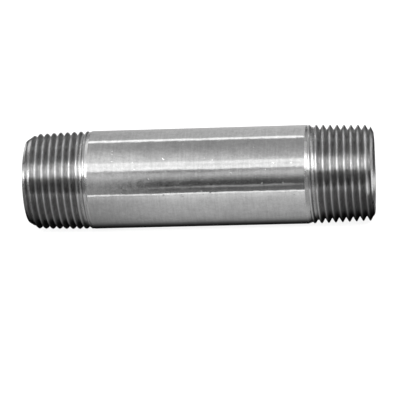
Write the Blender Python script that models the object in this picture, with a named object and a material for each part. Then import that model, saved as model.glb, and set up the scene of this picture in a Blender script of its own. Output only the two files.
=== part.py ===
"""A 3/4 inch stainless steel pipe nipple: a short pipe with an outside taper thread on each end.

The pipe's axis is X, its middle is the origin and +Z is up. Lengths are in metres.
Each thread is right-handed: it advances along +X as it turns from +Y towards +Z.
"""

import math

import bmesh
import bpy
from mathutils import Matrix

MM = 0.001

# The pipe
LENGTH = 91.5 * MM
OUTSIDE_DIAMETER = 25.9 * MM
WALL = 2.87 * MM
BORE_DEBURR = 0.1 * MM

# The thread: 14 to the inch, 60 degree flanks, tapering 1 in 16 on the diameter. Its crest line climbs to the
# barrel's own surface over the tapered length, and stays just under it from there to the shoulder.
PITCH = 25.4 * MM / 14
TAPER = 1 / 16
FLANK_ANGLE = math.radians(60)
CREST_FLAT = 0.12 * PITCH
ROOT_FLAT = 0.05 * PITCH
THREADED_LENGTH = 9.6 * PITCH
TAPERED_LENGTH = 13.86 * MM
CREST_BELOW_BARREL = 0.05 * MM

# The cone where the thread runs out into the barrel
RUN_OUT_ANGLE = math.radians(20)

# What differs between the +X end and the -X end, which were chamfered and threaded one after the other:
# the slope of the chamfer that leads a coupling on, the outer radius of the flat ring that it leaves, and where
# round the pipe the thread's crest reaches the end's plane
RIGHT_END = {"chamfer_angle": math.radians(64), "face_radius": 10.7 * MM, "crest_angle": math.radians(143)}
LEFT_END = {"chamfer_angle": math.radians(33), "face_radius": 11.0 * MM, "crest_angle": math.radians(37)}

# Every round shape has this many sides, with a flat one underneath
SIDES = 48
SIDE_ANGLE = 2 * math.pi / SIDES

# How far a helper shape reaches past the surface that it is cut to or joined with
OVERSHOOT = 1.0 * MM
THREAD_INSIDE_BARREL = 0.3 * MM
SPARE_TURNS = 2

SMOOTH_UNDER = math.radians(25)
STEEL_COLOUR = (0.60, 0.60, 0.60, 1.0)
STEEL_ROUGHNESS = 0.28

# Worked out from the sizes above
OUTSIDE_RADIUS = OUTSIDE_DIAMETER / 2
BORE_RADIUS = OUTSIDE_RADIUS - WALL
THREAD_DEPTH = (PITCH - CREST_FLAT - ROOT_FLAT) / 2 / math.tan(FLANK_ANGLE / 2)
SHOULDER = LENGTH / 2 - THREADED_LENGTH


def crest_radius(x):
    """The radius of the tapering line that the thread's crests follow, at a place along the +X end."""
    return OUTSIDE_RADIUS - (x - (LENGTH / 2 - TAPERED_LENGTH)) * TAPER / 2


def clear_scene():
    for thing in list(bpy.data.objects):
        bpy.data.objects.remove(thing, do_unlink=True)


def steel():
    material = bpy.data.materials.new("stainless_steel")
    material.use_nodes = True
    shader = material.node_tree.nodes["Principled BSDF"]
    shader.inputs["Base Color"].default_value = STEEL_COLOUR
    shader.inputs["Metallic"].default_value = 1.0
    shader.inputs["Roughness"].default_value = STEEL_ROUGHNESS
    return material


def object_from(bm, name):
    """A new object that holds the shape in bm, with its faces turned outwards."""
    bmesh.ops.recalc_face_normals(bm, faces=bm.faces)
    mesh = bpy.data.meshes.new(name)
    bm.to_mesh(mesh)
    bm.free()
    made = bpy.data.objects.new(name, mesh)
    bpy.context.scene.collection.objects.link(made)
    return made


def helper(made):
    """Marks an object as a shape that only cuts or joins."""
    made.hide_render = True
    made.display_type = "WIRE"
    return made


def turned(name, outline):
    """A solid of revolution about X. The outline's points are (x, radius), from axis to axis."""
    bm = bmesh.new()
    corners = [bm.verts.new((x, radius, 0)) for x, radius in outline]
    edges = [bm.edges.new(pair) for pair in zip(corners, corners[1:])]
    bmesh.ops.rotate(bm, verts=corners, matrix=Matrix.Rotation(SIDE_ANGLE / 2, 3, "X"))
    bmesh.ops.spin(
        bm,
        geom=corners + edges,
        cent=(0, 0, 0),
        axis=(1, 0, 0),
        angle=2 * math.pi,
        steps=SIDES,
        use_merge=True,
    )
    bmesh.ops.remove_doubles(bm, verts=bm.verts, dist=0.001 * MM)
    return object_from(bm, name)


def barrel():
    """The plain middle of the pipe, whose ends slope down inside the threads as the run-out cones."""
    slope_depth = THREAD_DEPTH + OVERSHOOT
    slope_length = slope_depth / math.tan(RUN_OUT_ANGLE)
    half = [
        (SHOULDER, OUTSIDE_RADIUS),
        (SHOULDER + slope_length, OUTSIDE_RADIUS - slope_depth),
        (SHOULDER + slope_length, 0),
    ]
    mirrored = [(-x, radius) for x, radius in reversed(half)]
    return turned("pipe_nipple", mirrored + half)


def thread_end_envelope(name, chamfer_angle, face_radius):
    """What the threaded length of the +X end is trimmed to.

    That is its end face, its chamfer, a plane inside the barrel, and just under the barrel's own surface.
    """
    end = LENGTH / 2
    inner = SHOULDER - THREAD_INSIDE_BARREL
    outer = OUTSIDE_RADIUS - CREST_BELOW_BARREL
    chamfer_length = (outer - face_radius) / math.tan(chamfer_angle)
    outline = [(inner, 0), (inner, outer), (end - chamfer_length, outer), (end, face_radius), (end, 0)]
    return helper(turned(name, outline))


def thread_section(fade):
    """One tooth of the thread, from crest to root, as (distance from the crest's middle, depth below it)."""
    half_crest = CREST_FLAT / 2
    half_root = ROOT_FLAT / 2
    return [
        (-half_crest, THREAD_DEPTH * fade),
        (half_crest, THREAD_DEPTH * fade),
        (PITCH / 2 - half_root, THREAD_DEPTH),
        (PITCH / 2 + half_root, THREAD_DEPTH),
    ]


def thread_body(name, crest_angle):
    """A solid screw for the +X end, longer at both ends than the threaded length.

    Its crest is in the plane of the end face at crest_angle. Its first and last half turn fade from the root
    diameter to the full thread, so that it closes cleanly.
    """
    first = -SIDES * (math.ceil(THREADED_LENGTH / PITCH) + SPARE_TURNS)
    last = SIDES * SPARE_TURNS
    bm = bmesh.new()
    rows = []
    for station in range(first, last + 1):
        angle = (station + 0.5) * SIDE_ANGLE
        along = LENGTH / 2 + PITCH * (angle - crest_angle) / (2 * math.pi)
        to_an_end = min(station - first, last - station)
        fade = max(0.0, 1 - to_an_end / (SIDES / 2))
        row = []
        for offset, depth in thread_section(fade):
            x = along + offset
            radius = crest_radius(x) - depth
            row.append(bm.verts.new((x, radius * math.cos(angle), radius * math.sin(angle))))
        rows.append(row)
    for row, following in zip(rows, rows[1:]):
        for k in range(3):
            bm.faces.new((row[k], row[k + 1], following[k + 1], following[k]))
    for (row, following), (turn_on, after) in zip(zip(rows, rows[1:]), zip(rows[SIDES:], rows[SIDES + 1 :])):
        bm.faces.new((row[3], turn_on[0], after[0], following[3]))
    fan(bm, [row[0] for row in rows[SIDES::-1]] + rows[0][1:], rows[0][0].co.x - PITCH)
    fan(bm, [row[3] for row in rows[-SIDES - 1 :]] + rows[-1][2::-1], rows[-1][3].co.x + PITCH)
    return helper(object_from(bm, name))


def fan(bm, rim, x):
    """Closes a ring of vertices with triangles to a point on the axis."""
    centre = bm.verts.new((x, 0, 0))
    for first, second in zip(rim, rim[1:] + rim[:1]):
        bm.faces.new((first, second, centre))


def bore():
    """What is bored out: the through hole and the small deburring chamfer at each mouth."""
    end = LENGTH / 2
    past = end + OVERSHOOT
    half = [
        (end - BORE_DEBURR, BORE_RADIUS),
        (past, BORE_RADIUS + BORE_DEBURR + OVERSHOOT),
        (past, 0),
    ]
    mirrored = [(-x, radius) for x, radius in reversed(half)]
    return helper(turned("bore", mirrored + half))


def boolean(target, operation, other):
    modifier = target.modifiers.new(f"{operation.lower()}_{other.name}", "BOOLEAN")
    modifier.operation = operation
    modifier.solver = "EXACT"
    modifier.object = other


def threaded_end(name, chamfer_angle, face_radius, crest_angle, turn_about_z):
    """A finished threaded length, on the +X end or, turned half round, on the -X end, and what it is cut to."""
    body = thread_body(name, crest_angle)
    envelope = thread_end_envelope(f"{name}_envelope", chamfer_angle, face_radius)
    boolean(body, "INTERSECT", envelope)
    for piece in (body, envelope):
        piece.matrix_world = Matrix.Rotation(turn_about_z, 4, "Z")
    return body, envelope


def apply_modifiers(made):
    """Gives the object the mesh that its modifiers make."""
    bpy.context.view_layer.update()
    evaluated = made.evaluated_get(bpy.context.evaluated_depsgraph_get())
    result = bpy.data.meshes.new_from_object(evaluated)
    made.modifiers.clear()
    made.data = result


def build():
    clear_scene()
    pipe = barrel()
    right, right_envelope = threaded_end("thread_right", **RIGHT_END, turn_about_z=0)
    left, left_envelope = threaded_end("thread_left", **LEFT_END, turn_about_z=math.pi)
    hole = bore()
    boolean(pipe, "UNION", right)
    boolean(pipe, "UNION", left)
    boolean(pipe, "DIFFERENCE", hole)
    apply_modifiers(pipe)
    for used in (right, right_envelope, left, left_envelope, hole):
        bpy.data.objects.remove(used, do_unlink=True)
    pipe.data.name = pipe.name
    pipe.data.materials.clear()
    pipe.data.materials.append(steel())
    pipe.data.shade_smooth()
    pipe.data.set_sharp_from_angle(angle=SMOOTH_UNDER)


build()
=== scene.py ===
"""The looks of the threaded pipe nipple: its fine mesh, its materials, the studio round it and the camera.

Lengths are in metres, in the CAD model's frame: the pipe's axis is X, its middle is the origin and +Z is up.
Angles round the axis run from +Y towards +Z.
"""

import math

import bmesh
import bpy
from mathutils import Matrix, Vector, noise


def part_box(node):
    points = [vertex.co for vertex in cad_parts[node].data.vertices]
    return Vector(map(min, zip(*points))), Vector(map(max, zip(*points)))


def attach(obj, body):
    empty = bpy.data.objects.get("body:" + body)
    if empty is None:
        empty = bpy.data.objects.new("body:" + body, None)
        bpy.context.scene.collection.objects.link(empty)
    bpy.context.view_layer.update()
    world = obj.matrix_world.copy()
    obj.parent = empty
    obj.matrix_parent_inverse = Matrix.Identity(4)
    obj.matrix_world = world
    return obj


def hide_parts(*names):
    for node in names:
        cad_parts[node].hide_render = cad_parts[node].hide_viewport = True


MM = 0.001

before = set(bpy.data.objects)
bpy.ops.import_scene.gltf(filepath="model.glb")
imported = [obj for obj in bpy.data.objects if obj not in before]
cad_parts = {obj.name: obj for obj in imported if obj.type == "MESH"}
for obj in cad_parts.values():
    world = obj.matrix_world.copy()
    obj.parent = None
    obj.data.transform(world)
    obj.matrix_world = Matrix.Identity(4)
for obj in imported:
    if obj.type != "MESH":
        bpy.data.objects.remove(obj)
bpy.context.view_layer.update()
PIPE_LOW, PIPE_HIGH = (Vector(corner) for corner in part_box("pipe_nipple"))

# The pipe, as the CAD model has it
END = PIPE_HIGH.x
OUTSIDE_RADIUS = 12.95 * MM
BORE_RADIUS = 10.08 * MM
BORE_DEBURR = 0.1 * MM
PITCH = 25.4 * MM / 14
TAPER = 1 / 16
CREST_FLAT = 0.12
ROOT_FLAT = 0.05
THREAD_DEPTH = (1 - CREST_FLAT - ROOT_FLAT) / 2 * PITCH / math.tan(math.radians(30))
SHOULDER = END - 9.6 * PITCH
TAPER_START = END - 13.86 * MM
CREST_BELOW_BARREL = 0.05 * MM
RUN_OUT_SLOPE = math.tan(math.radians(20))
RIGHT_END = {"chamfer_angle": math.radians(64), "face_radius": 10.7 * MM, "crest_angle": math.radians(143)}
LEFT_END = {"chamfer_angle": math.radians(33), "face_radius": 11.0 * MM, "crest_angle": math.radians(37)}

# The fine mesh. The thread's rows are fractions of a pitch from the middle of a crest, closest together where
# the tooth bends. The roundings are how softly it bends there, as shares of its flank.
COLUMNS = 192
HALF_TOOTH_ROWS = (0, 0.035, 0.06, 0.09, 0.13, 0.2, 0.31, 0.39, 0.44, 0.475)
THREAD_ROWS = HALF_TOOTH_ROWS + (0.5,) + tuple(1 - row for row in reversed(HALF_TOOTH_ROWS[1:]))
CREST_ROUNDING = 0.22
ROOT_ROUNDING = 0.4
SPARE_TURNS = 2
BARREL_ROWS = 48
BORE_ROWS = 12
ZONES = ("barrel", "thread", "turned", "bore", "run_out")
SMOOTH_UNDER = math.radians(32)
WELD_UNDER = 0.0005 * MM
RING_TOLERANCE = 0.001 * MM

# The crests' unevenness: swells this often per millimetre along the pipe and per radius round it, and torn
# places where a finer noise rises above a threshold
SWELLS_ALONG = 0.9
SWELLS_ROUND = 2.2
SWELL_HEIGHT = 0.035 * MM
TEAR_FINENESS = 2.3
TEAR_PATTERN = Vector((7, 3, 1))
TEAR_THRESHOLD = 0.35
TEAR_DEPTH = 0.16 * MM

# Where the stage lies. The floor is just under the pipe and what the steel mirrors of it is lower still.
FLOOR_Z = PIPE_LOW.z - 0.05 * MM
MIRRORED_BOARD_Z = PIPE_LOW.z - 0.2 * MM
MIRRORED_BOARD_HALF_LENGTH = 0.2
FLOOR_HALF_SIDE = 4
BACKDROP_RADIUS = 3.9

# The picture is taken from a little to the right of the front and above it.
CAMERA_AZIMUTH = math.radians(7)
CAMERA_ELEVATION = math.radians(15)
CAMERA_ROLL = math.radians(-3.245)
CAMERA_DISTANCE = 582 * MM
CAMERA_LEFT_MM = 0.14
CAMERA_DOWN_MM = 6.05
CAMERA_LENS_MM = 198.5
CAMERA_SENSOR_MM = 36


# ---------------------------------------------------------------- the mesh


def rounded_flank(down):
    """A line that rises by 1 with rounded ends, at a fraction of the way down the flank."""
    return (math.hypot(down, CREST_ROUNDING) - math.hypot(down - 1, ROOT_ROUNDING)) / 2


def tooth_depth(turn):
    """How deep the thread is, from 0 on the crest to 1 at the root, at a number of pitches from a crest."""
    from_crest = abs((turn + 0.5) % 1.0 - 0.5)
    flank = (1 - CREST_FLAT - ROOT_FLAT) / 2
    here = rounded_flank((from_crest - CREST_FLAT / 2) / flank)
    crest = rounded_flank(-CREST_FLAT / 2 / flank)
    root = rounded_flank((0.5 - CREST_FLAT / 2) / flank)
    return (here - crest) / (root - crest)


def crest_height(x, angle):
    """The crest's small unevenness: a slow swell along the cut, and here and there a torn place."""
    where = Vector((x / MM * SWELLS_ALONG, SWELLS_ROUND * math.cos(angle), SWELLS_ROUND * math.sin(angle)))
    swell = noise.noise(where)
    tear = max(0.0, noise.noise(where * TEAR_FINENESS + TEAR_PATTERN) - TEAR_THRESHOLD)
    return SWELL_HEIGHT * swell - TEAR_DEPTH * tear


def thread_radius(x, angle, turn):
    """The thread's radius before its end is chamfered and its last turns run out."""
    depth = tooth_depth(turn)
    tapering = OUTSIDE_RADIUS - (x - TAPER_START) * TAPER / 2 - THREAD_DEPTH * depth
    return min(tapering, OUTSIDE_RADIUS - CREST_BELOW_BARREL) + crest_height(x, angle) * (1 - depth) ** 2


class Shell:
    """Collects the surface's points, each with its depth in the thread, and its faces, each with its zone."""

    def __init__(self):
        self.points = []
        self.depths = []
        self.faces = []
        self.zones = []

    def point(self, x, radius, angle, depth=0.0):
        self.points.append((x, radius * math.cos(angle), radius * math.sin(angle)))
        self.depths.append(depth)
        return len(self.points) - 1

    def face(self, corners, zone):
        """A face on these corners, without a side where neighbours are the same point."""
        kept = [c for i, c in enumerate(corners) if c != corners[i - 1]]
        if len(kept) > 2:
            self.faces.append(kept)
            self.zones.append(ZONES.index(zone))

    def ring(self, x, radius):
        return [self.point(x, radius, 2 * math.pi * j / COLUMNS) for j in range(COLUMNS)]

    def bridge(self, first, second, zone):
        for j in range(COLUMNS):
            following = (j + 1) % COLUMNS
            self.face((first[j], first[following], second[following], second[j]), zone)

    def turned_half_round(self):
        """The same surface on the other end: turned half round about Z."""
        other = Shell()
        other.points = [(-x, -y, z) for x, y, z in self.points]
        other.depths = list(self.depths)
        other.faces = [list(face) for face in self.faces]
        other.zones = list(self.zones)
        return other

    def add(self, other):
        start = len(self.points)
        self.points += other.points
        self.depths += other.depths
        self.faces += [[start + corner for corner in face] for face in other.faces]
        self.zones += other.zones


def threaded_end(chamfer_angle, face_radius, crest_angle):
    """The +X end: the threaded surface, whose rows follow the helix, the end face and the bore's mouth.

    A row that would leave the threaded length stops at its edge, so that both edges are plain rings.
    """
    shell = Shell()
    inner = shell.ring(SHOULDER, OUTSIDE_RADIUS)
    outer = shell.ring(END, face_radius)
    per_turn = len(THREAD_ROWS)
    turns = math.ceil((END - SHOULDER) / PITCH) + SPARE_TURNS
    start = END - (turns - 1) * PITCH - PITCH * crest_angle / (2 * math.pi)
    on_chamfer = set()
    on_cone = set(inner)

    def column_points(j):
        """The points from the shoulder to the end at one place round the pipe."""
        angle = 2 * math.pi * j / COLUMNS
        points = []
        for row in range(-per_turn, turns * per_turn):
            whole, part = divmod(row, per_turn)
            turn = whole + THREAD_ROWS[part]
            x = start + PITCH * (turn + angle / (2 * math.pi))
            if x <= SHOULDER:
                points.append(inner[j])
            elif x >= END:
                points.append(outer[j])
            else:
                chamfer = face_radius + (END - x) * math.tan(chamfer_angle)
                cone = OUTSIDE_RADIUS - (x - SHOULDER) * RUN_OUT_SLOPE
                thread = thread_radius(x, angle, turn)
                radius = min(max(thread, cone), chamfer)
                points.append(shell.point(x, radius, angle, tooth_depth(turn)))
                if chamfer < thread:
                    on_chamfer.add(points[-1])
                elif cone > thread:
                    on_cone.add(points[-1])
        return points

    def zone_of(corners):
        if len(on_chamfer.intersection(corners)) > 2:
            return "turned"
        return "run_out" if len(on_cone.intersection(corners)) > 2 else "thread"

    columns = [column_points(j) for j in range(COLUMNS)]
    # One turn on, the first column carries on one pitch further along.
    columns.append(columns[0][per_turn:] + [outer[0]] * per_turn)
    for column, following in zip(columns, columns[1:]):
        for row in range(len(column) - 1):
            corners = (column[row], following[row], following[row + 1], column[row + 1])
            shell.face(corners, zone_of(corners))
    face_inner = shell.ring(END, BORE_RADIUS + BORE_DEBURR)
    mouth = shell.ring(END - BORE_DEBURR, BORE_RADIUS)
    shell.bridge(outer, face_inner, "turned")
    shell.bridge(face_inner, mouth, "turned")
    return shell


def plain_tube(half_length, radius, rows, zone):
    shell = Shell()
    rings = [shell.ring(2 * half_length * row / rows - half_length, radius) for row in range(rows + 1)]
    for first, second in zip(rings, rings[1:]):
        shell.bridge(first, second, zone)
    return shell


def weld(mesh):
    """Joins the rings that two surfaces share, and turns every face outwards."""
    bm = bmesh.new()
    bm.from_mesh(mesh)
    bmesh.ops.remove_doubles(bm, verts=bm.verts, dist=WELD_UNDER)
    bmesh.ops.recalc_face_normals(bm, faces=bm.faces)
    bm.to_mesh(mesh)
    bm.free()


def sharpen_shoulders(mesh):
    """Marks the barrel's two end rings as sharp, although the run-out cones leave it at a small angle."""
    for edge in mesh.edges:
        if all(abs(abs(mesh.vertices[v].co.x) - SHOULDER) < RING_TOLERANCE for v in edge.vertices):
            edge.use_edge_sharp = True


def fine_pipe():
    whole = threaded_end(**RIGHT_END)
    whole.add(threaded_end(**LEFT_END).turned_half_round())
    whole.add(plain_tube(SHOULDER, OUTSIDE_RADIUS, BARREL_ROWS, "barrel"))
    whole.add(plain_tube(END - BORE_DEBURR, BORE_RADIUS, BORE_ROWS, "bore"))
    mesh = bpy.data.meshes.new("pipe")
    mesh.from_pydata(whole.points, [], whole.faces)
    mesh.polygons.foreach_set("material_index", whole.zones)
    depth = mesh.attributes.new("groove_depth", "FLOAT", "POINT")
    depth.data.foreach_set("value", whole.depths)
    made = bpy.data.objects.new("pipe", mesh)
    bpy.context.scene.collection.objects.link(made)
    weld(mesh)
    mesh.shade_smooth()
    mesh.set_sharp_from_angle(angle=SMOOTH_UNDER)
    sharpen_shoulders(mesh)
    return made


# ---------------------------------------------------------------- shader nodes


def grey(brightness):
    return (brightness, brightness, brightness, 1)


class Tree:
    """The shader nodes of a material or of the world. A value may also be an output to link from."""

    def __init__(self, owner):
        owner.use_nodes = True
        self.nodes = owner.node_tree.nodes
        self.links = owner.node_tree.links
        self.nodes.clear()

    def node(self, kind, inputs, **settings):
        """A new node with these settings, whose inputs are given by name or number."""
        made = self.nodes.new("ShaderNode" + kind)
        for name, value in settings.items():
            setattr(made, name, value)
        for name, value in inputs.items():
            if isinstance(value, bpy.types.NodeSocket):
                self.links.new(value, made.inputs[name])
            else:
                made.inputs[name].default_value = value
        return made

    def place(self, kind):
        """Where a point is: in its object's own frame, or, for the world, in which direction."""
        return self.node("TexCoord", {}).outputs[kind]

    def math(self, operation, *values):
        return self.node("Math", dict(enumerate(values)), operation=operation).outputs[0]

    def map_range(self, value, low, high, to_low=0.0, to_high=1.0, interpolation="LINEAR"):
        inputs = {"Value": value, "From Min": low, "From Max": high, "To Min": to_low, "To Max": to_high}
        return self.node("MapRange", inputs, interpolation_type=interpolation).outputs[0]

    def change(self, value, low, high, to_low, to_high):
        """Changes smoothly from to_low, where the value is low, to to_high, where it's high."""
        return self.map_range(value, low, high, to_low, to_high, "SMOOTHSTEP")

    def rise(self, value, low, high):
        return self.change(value, low, high, 0, 1)

    def fall(self, value, low, high):
        return self.change(value, low, high, 1, 0)

    def ramp(self, value, stops):
        """A grey from (place, brightness) stops, whose places run up from the first to the last."""
        first, last = stops[0][0], stops[-1][0]
        ramp = self.node("ValToRGB", {0: self.map_range(value, first, last)})
        elements = ramp.color_ramp.elements
        while len(elements) < len(stops):
            elements.new(0.5)
        for element, (place, brightness) in zip(elements, stops):
            element.position = (place - first) / (last - first)
            element.color = grey(brightness)
        return ramp.outputs["Color"]

    def mix(self, factor, first, second, blend="MIX"):
        inputs = {"Factor": factor, "A": first, "B": second}
        return self.node("Mix", inputs, data_type="RGBA", blend_type=blend).outputs["Result"]

    def noise(self, place, scale, stretch=(1, 1, 1), detail=2.0, roughness=0.5):
        """Noise of this scale per metre, drawn out along the axes where stretch is above 1."""
        mapping = self.node("Mapping", {"Vector": place, "Scale": [scale / s for s in stretch]})
        inputs = {"Vector": mapping.outputs[0], "Scale": 1.0, "Detail": detail, "Roughness": roughness}
        return self.node("TexNoise", inputs).outputs["Fac"]

    def relief(self, *layers):
        """A bumpy surface's normal, from the (height, how high a height of 1 stands) of each layer."""
        inputs = {"Strength": 1.0}
        for height, distance in layers:
            bump = self.node("Bump", {**inputs, "Height": height, "Distance": distance})
            inputs["Normal"] = bump.outputs[0]
        return inputs["Normal"]


# ---------------------------------------------------------------- materials

# Most of a noise's values lie between these.
NOISE_LOW = 0.3
NOISE_HIGH = 0.7


def new_material(name):
    material = bpy.data.materials.new(name)
    return material, Tree(material)


def finish_steel(tree, anisotropic, colour, variation, roughness, normal):
    """Ends a steel: a metal whose polish lines run round the pipe, and whose roughness follows a noise."""
    tangent = tree.node("Tangent", {}, direction_type="RADIAL", axis="X")
    inputs = {
        "Base Color": colour,
        "Metallic": 1.0,
        "Roughness": tree.map_range(variation, NOISE_LOW, NOISE_HIGH, *roughness),
        "Normal": normal,
        "Anisotropic": anisotropic,
        "Anisotropic Rotation": 0.25,
        "Tangent": tangent.outputs[0],
    }
    shader = tree.node("BsdfPrincipled", inputs)
    tree.node("OutputMaterial", {"Surface": shader.outputs[0]})


def barrel_steel():
    """Satin steel: it mirrors sharply across the pipe and softly along it, over faint rings and patches."""
    material, tree = new_material("barrel_steel")
    place = tree.place("Object")
    rings = tree.noise(place, 1600, stretch=(1, 7, 7))
    patches = tree.noise(place, 420, stretch=(1.5, 1, 1), detail=6, roughness=0.95)
    tone = tree.math("MULTIPLY_ADD", rings, 0.35, patches)
    colour = tree.mix(tree.map_range(tone, 0.42, 0.92), grey(0.465), grey(0.705))
    waves = tree.noise(place, 80, stretch=(1.5, 1, 1), detail=1)
    dents = tree.noise(place, 300, stretch=(1.5, 1, 1))
    grit = tree.noise(place, 1100, stretch=(2.5, 1, 1))
    nicks = tree.rise(tree.noise(place, 900, detail=1), 0.74, 0.80)
    normal = tree.relief((waves, 0.09 * MM), (dents, 0.012 * MM), (grit, 0.012 * MM), (nicks, 0.03 * MM))
    finish_steel(tree, 0.4, colour, patches, (0.08, 0.13), normal)
    return material


def thread_steel():
    """Machined steel with random stains: bright on the crests, a painted highlight, and darker down in the
    grooves, painted shade.
    """
    material, tree = new_material("thread_steel")
    place = tree.place("Object")
    depth = tree.node("Attribute", {}, attribute_name="groove_depth").outputs["Fac"]
    marks = tree.noise(place, 2400, stretch=(1, 8, 8), detail=3)
    stains = tree.noise(place, 700, detail=3)
    # Painted light: the colour is lighter on the crests (painted highlight) and darker deeper in the grooves
    # (painted shade). The stains on top are random tone.
    tone = tree.math("MULTIPLY_ADD", stains, 1.2, tree.fall(depth, 0, 0.45))
    colour = tree.mix(tree.map_range(tone, 0.4, 1.6), grey(0.35), grey(0.66))
    finish_steel(tree, 1.0, colour, marks, (0.27, 0.37), tree.relief((marks, 0.002 * MM)))
    return material


def turned_steel(name, dark, light):
    """The end faces, chamfers and run-outs, with the lathe tool's rings."""
    material, tree = new_material(name)
    place = tree.place("Object")
    rings = tree.noise(place, 3000, stretch=(1, 10, 10))
    patches = tree.noise(place, 600, detail=3)
    colour = tree.mix(patches, grey(dark), grey(light))
    finish_steel(tree, 0.5, colour, patches, (0.24, 0.34), tree.relief((rings, 0.004 * MM)))
    return material


def bore_steel():
    """The inside, dull as the pipe was drawn, with faint lines along it."""
    material, tree = new_material("bore_steel")
    place = tree.place("Object")
    lines = tree.noise(place, 1200, stretch=(12, 1, 1), detail=3)
    patches = tree.noise(place, 220, stretch=(2, 1, 1), detail=4)
    colour = tree.mix(patches, grey(0.36), grey(0.56))
    finish_steel(tree, 0.3, colour, patches, (0.34, 0.5), tree.relief((lines, 0.006 * MM)))
    return material


def pipe_steels():
    """The material of each zone."""
    return {
        "barrel": barrel_steel(),
        "thread": thread_steel(),
        "turned": turned_steel("turned_steel", 0.46, 0.66),
        "bore": bore_steel(),
        # A lighter copy of the turned steel on the run-out cones: its extra lightness is a painted highlight.
        # Its patches are random tone.
        "run_out": turned_steel("run_out_steel_painted_highlight", 0.66, 0.86),
    }


# ---------------------------------------------------------------- the studio

# What the steel mirrors above and in front of the floor: bands of light that lie along the pipe. Each is an
# angle in degrees above the front horizon, then the brightness there at the left, in the middle and at the
# right of the front. A long strip light lies low down and a narrow one overhead, with dim walls between them.
FRONT_LIGHT = (
    (-180, 0.50, 0.50, 0.50),
    (-60, 0.40, 0.30, 0.30),
    (-17, 0.46, 0.14, 0.20),
    (-10, 0.48, 0.05, 0.16),
    (-2, 0.52, 0.00, 0.12),
    (4, 0.57, 0.03, 0.14),
    (10, 0.66, 0.24, 0.33),
    (19, 0.80, 0.60, 0.77),
    (25, 0.78, 0.56, 0.76),
    (28, 0.80, 0.22, 0.62),
    (32, 0.86, 0.30, 0.66),
    (34, 1.45, 1.44, 1.40),
    (38, 1.50, 1.50, 1.40),
    (43, 1.40, 1.18, 1.16),
    (47, 1.42, 1.40, 1.42),
    (51, 1.40, 1.36, 1.44),
    (53.5, 1.10, 0.96, 0.86),
    (62, 1.04, 0.84, 0.62),
    (75, 0.90, 0.58, 0.50),
    (90, 0.60, 0.42, 0.44),
    (108, 0.52, 0.40, 0.42),
    (110.5, 0.60, 0.50, 0.55),
    (112, 1.70, 1.70, 1.70),
    (117, 1.70, 1.70, 1.70),
    (118.5, 0.56, 0.66, 0.70),
    (180, 0.50, 0.58, 0.64),
)
# A short, thin light hangs low in the middle of the front.
THIN_LIGHT = ((-180, 0.0), (-10.8, 0.0), (-9, 0.52), (-7, 0.52), (-5.2, 0.0), (180, 0.0))
# To both sides of the front, for the threads' rounded crests and grooves to mirror, the strip light is much
# brighter and the walls are dark.
SIDE_LIGHT = (
    (-180, 0.02),
    (-30, 0.02),
    (22, 0.02),
    (28, 5.5),
    (53, 5.5),
    (68, 0.34),
    (110, 0.20),
    (180, 0.05),
)
# Further out, for the run-out cones and the ends to mirror, the strip light is dim and the walls are pale.
FAR_LIGHT = (
    (-180, 0.30),
    (-30, 0.30),
    (31, 0.24),
    (36, 0.40),
    (40, 0.78),
    (58, 0.78),
    (64, 0.66),
    (95, 0.70),
    (115, 1.0),
    (160, 1.0),
    (180, 0.60),
)

# Where one light gives way to the next: two values of a direction's x, which is -1 far left and 1 far right.
# The barrel mirrors only a narrow part of the front, whose middle is FRONT_X.
FRONT_X = -0.12
LEFT_TO_MIDDLE = (-0.166, -0.138)
MIDDLE_TO_RIGHT = (-0.120, -0.085)
THIN_LIGHT_STARTS = (-0.134, -0.118)
THIN_LIGHT_ENDS = (-0.085, -0.068)
# This far from FRONT_X, on both sides
FRONT_TO_SIDE = (0.15, 0.24)
# This far from the middle plane, on both sides
SIDE_TO_FAR = (0.44, 0.50)
# On the left, the side light comes back between these, for the left rim to mirror.
FAR_TO_LEFT_RIM = (-0.79, -0.73)
LEFT_RIM_TO_FAR = (-0.96, -0.92)

# The pale board as the steel mirrors it: how bright it is at each distance in front of (below 0) and behind
# the pipe's axis, in millimetres. Close to the pipe it is in shadow, and its front edge catches the light.
BOARD_LIGHT = (
    (-44, 1.55),
    (-39.5, 1.55),
    (-38.5, 0.86),
    (-32, 0.90),
    (-27, 0.76),
    (-22, 0.66),
    (-16, 0.60),
    (-13, 0.56),
    (-10.5, 0.48),
    (-8.6, 0.40),
    (-7.4, 0.28),
    (-6.2, 0.11),
    (-5, 0.02),
    (0, 0.0),
    (5, 0.02),
    (7.4, 0.28),
    (10.5, 0.48),
    (22, 0.66),
    (70, 0.70),
)
BOARD_FRONT_EDGE = (-39.5 * MM, -38.5 * MM)
# Past the pipe's right end the board is in no shadow. This is how bright it is there, and where that begins.
OPEN_BOARD = 1.2
PAST_THE_PIPE = (END + 18 * MM, END + 26 * MM)
# The board is dimmed to these shares under the barrel's left half, except at its front edge, and beside the
# threads. Each pair of places is where it changes.
LEFT_HALF_SHARE = 0.66
LEFT_HALF = (-30 * MM, -5 * MM)
RIGHT_THREADS_SHARE = 0.42
RIGHT_THREADS = (29 * MM, 36 * MM)
LEFT_THREADS_SHARE = 0.5
LEFT_THREADS = (-44 * MM, -37 * MM)

FLOOR_COLOUR = 0.3
FLOOR_GLOW = 0.90
BACKDROP_GLOW = 1.05


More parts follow.
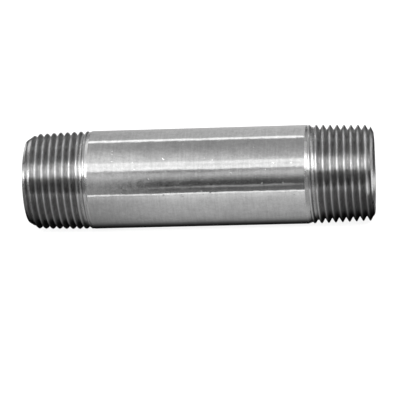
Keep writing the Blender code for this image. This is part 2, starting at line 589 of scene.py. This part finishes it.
def studio():
    """The light all round, which only the steel mirrors: the camera sees the backdrop instead."""
    world = bpy.data.worlds.new("studio")
    bpy.context.scene.world = world
    tree = Tree(world)
    x, y, z = tree.node("SeparateXYZ", {0: tree.place("Generated")}).outputs
    front = tree.math("MULTIPLY", y, -1.0)
    angle = tree.math("DEGREES", tree.math("ARCTAN2", z, front))
    left, middle, right = (
        tree.ramp(angle, [(band[0], band[column]) for band in FRONT_LIGHT]) for column in (1, 2, 3)
    )
    thin, side, far = (tree.ramp(angle, stops) for stops in (THIN_LIGHT, SIDE_LIGHT, FAR_LIGHT))
    level = tree.mix(tree.fall(x, *LEFT_TO_MIDDLE), middle, left)
    level = tree.mix(tree.rise(x, *MIDDLE_TO_RIGHT), level, right)
    by_thin_light = tree.math("MULTIPLY", tree.rise(x, *THIN_LIGHT_STARTS), tree.fall(x, *THIN_LIGHT_ENDS))
    level = tree.mix(by_thin_light, level, thin, "ADD")
    off_front = tree.math("ABSOLUTE", tree.math("ADD", x, -FRONT_X))
    level = tree.mix(tree.rise(off_front, *FRONT_TO_SIDE), level, side)
    far_out = tree.rise(tree.math("ABSOLUTE", x), *SIDE_TO_FAR)
    level = tree.mix(tree.math("MULTIPLY", far_out, tree.rise(x, *FAR_TO_LEFT_RIM)), level, far)
    level = tree.mix(tree.fall(x, *LEFT_RIM_TO_FAR), level, far)
    background = tree.node("Background", {"Color": level})
    tree.node("OutputWorld", {"Surface": background.outputs[0]})


def glow(tree, colour, strength):
    """An emission shader's output."""
    return tree.node("Emission", {"Color": colour, "Strength": strength}).outputs[0]


def sheet(name, low, high, z, material):
    """A flat piece of the stage between two (x, y) corners."""
    mesh = bpy.data.meshes.new(name)
    (x0, y0), (x1, y1) = low, high
    mesh.from_pydata([(x0, y0, z), (x1, y0, z), (x1, y1, z), (x0, y1, z)], [], [(0, 1, 2, 3)])
    made = bpy.data.objects.new(name, mesh)
    bpy.context.scene.collection.objects.link(made)
    mesh.materials.append(material)
    return made


def mirrored_board():
    """The part of the floor that the steel mirrors. The camera sees the floor itself instead."""
    material, tree = new_material("mirrored_board")
    x, y, _ = tree.node("SeparateXYZ", {0: tree.place("Object")}).outputs
    beside = tree.ramp(y, [(place * MM, brightness) for place, brightness in BOARD_LIGHT])
    past_the_pipe = tree.rise(x, *PAST_THE_PIPE)
    left_half = tree.math(
        "MAXIMUM", tree.change(x, *LEFT_HALF, LEFT_HALF_SHARE, 1), tree.map_range(y, *BOARD_FRONT_EDGE, 1, 0)
    )
    by_right_threads = tree.change(x, *RIGHT_THREADS, 1, RIGHT_THREADS_SHARE)
    by_left_threads = tree.change(x, *LEFT_THREADS, LEFT_THREADS_SHARE, 1)
    shadow = tree.math("MULTIPLY", left_half, tree.math("MULTIPLY", by_right_threads, by_left_threads))
    colour = tree.mix(past_the_pipe, beside, grey(OPEN_BOARD))
    shining = glow(tree, colour, tree.math("MAXIMUM", shadow, past_the_pipe))
    tree.node("OutputMaterial", {"Surface": shining})
    front, back = BOARD_LIGHT[0][0] * MM, BOARD_LIGHT[-1][0] * MM
    half = MIRRORED_BOARD_HALF_LENGTH
    board = sheet("mirrored_board", (-half, front), (half, back), MIRRORED_BOARD_Z, material)
    board.visible_camera = False
    board.visible_diffuse = False
    board.visible_shadow = False


def floor():
    material, tree = new_material("pale_floor")
    diffuse = tree.node("BsdfDiffuse", {"Color": grey(FLOOR_COLOUR)})
    both = tree.node("AddShader", {0: diffuse.outputs[0], 1: glow(tree, grey(1), FLOOR_GLOW)})
    tree.node("OutputMaterial", {"Surface": both.outputs[0]})
    half = FLOOR_HALF_SIDE
    made = sheet("floor", (-half, -half), (half, half), FLOOR_Z, material)
    made.visible_glossy = False


def backdrop():
    material, tree = new_material("backdrop")
    tree.node("OutputMaterial", {"Surface": glow(tree, grey(1), BACKDROP_GLOW)})
    bpy.ops.mesh.primitive_uv_sphere_add(
        segments=32, ring_count=16, radius=BACKDROP_RADIUS, location=(0, 0, 0)
    )
    dome = bpy.context.object
    dome.name = "backdrop"
    dome.data.materials.append(material)
    dome.visible_glossy = False
    dome.visible_diffuse = False
    dome.visible_shadow = False


def camera():
    azimuth, elevation = CAMERA_AZIMUTH, CAMERA_ELEVATION
    level = Vector((math.cos(azimuth), math.sin(azimuth), 0))
    level_back = Vector((math.sin(azimuth), -math.cos(azimuth), 0))
    back = level_back * math.cos(elevation) + Vector((0, 0, math.sin(elevation)))
    upright = back.cross(level)
    right = level * math.cos(CAMERA_ROLL) + upright * math.sin(CAMERA_ROLL)
    up = upright * math.cos(CAMERA_ROLL) - level * math.sin(CAMERA_ROLL)
    data = bpy.data.cameras.new("camera")
    data.sensor_width = CAMERA_SENSOR_MM
    data.lens = CAMERA_LENS_MM
    made = bpy.data.objects.new("camera", data)
    bpy.context.scene.collection.objects.link(made)
    turn = Matrix((right, up, back)).transposed().to_4x4()
    place = back * CAMERA_DISTANCE - right * CAMERA_LEFT_MM * MM - up * CAMERA_DOWN_MM * MM
    made.matrix_world = Matrix.Translation(place) @ turn
    bpy.context.scene.camera = made


pipe = fine_pipe()
steels = pipe_steels()
for zone in ZONES:
    pipe.data.materials.append(steels[zone])
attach(pipe, "root")
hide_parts("pipe_nipple")

studio()
mirrored_board()
floor()
backdrop()
camera()
bpy.context.scene.view_settings.view_transform = "Standard"
